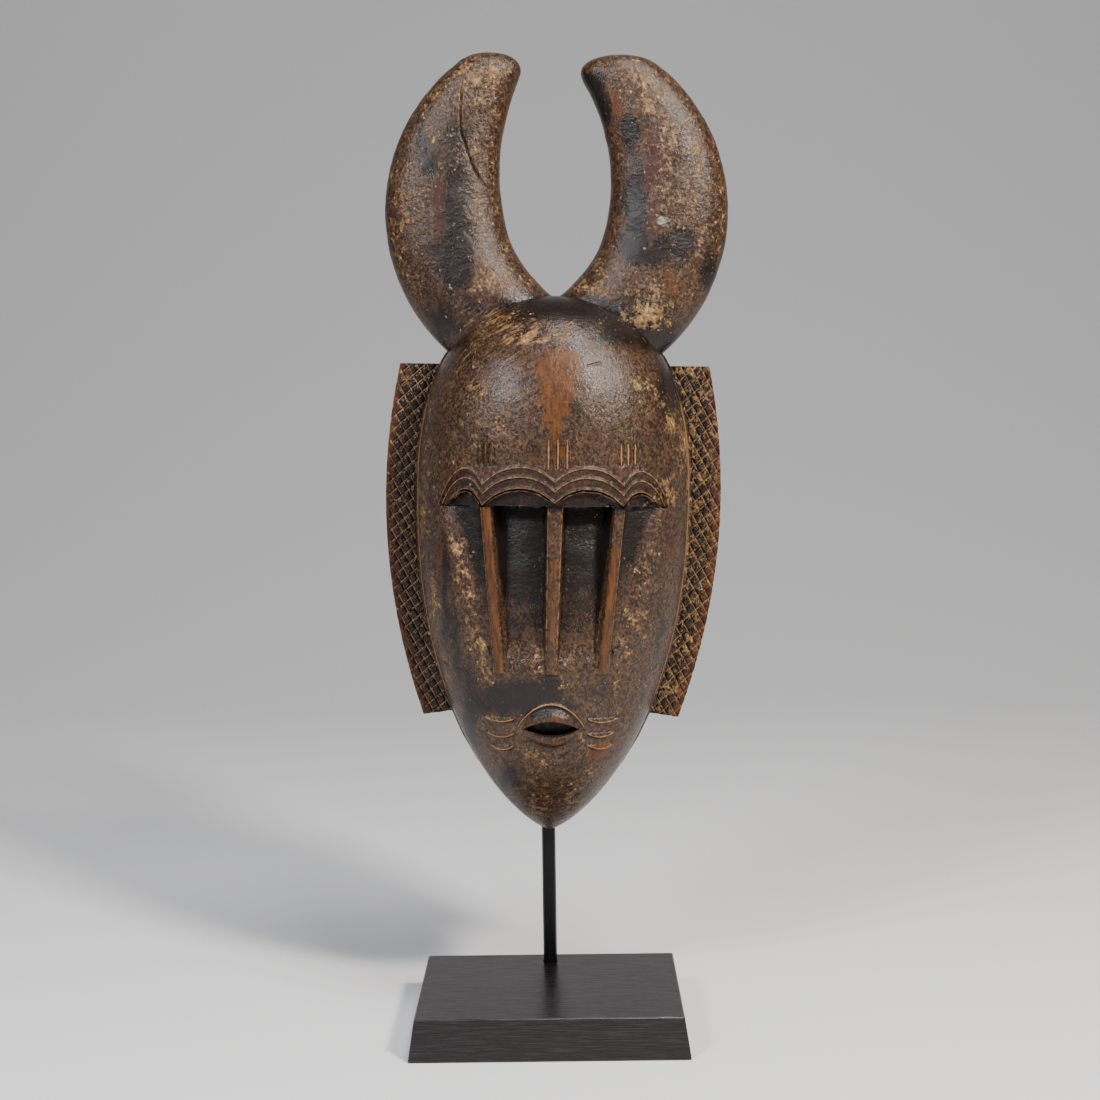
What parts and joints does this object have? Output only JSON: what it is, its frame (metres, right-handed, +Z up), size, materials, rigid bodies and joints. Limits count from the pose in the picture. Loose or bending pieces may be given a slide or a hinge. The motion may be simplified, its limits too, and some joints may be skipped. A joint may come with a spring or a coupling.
{
  "type": "carved face mask",
  "caption": "Carved wooden face mask with upright curved horns and cross-hatched side wings, held by a steel stem over a bevelled wooden base.",
  "frame": {"origin": "centre of the base's underside, on the surface that the part stands on", "axes": "+Z up, the face looks along -Y, +X is at the right of the picture"},
  "size_m": [0.1556, 0.1052, 0.4356],
  "materials": {
    "carved_wood": "old dark patina, rubbed red-brown on the edges, with pale dust in the cuts",
    "black_steel": "satin black",
    "black_wood": "black stain, satin, open grain"
  },
  "bodies": {
    "root": {"mask": "carved_wood", "stem": "black_steel", "base": "black_wood"}
  },
  "joints": []
}
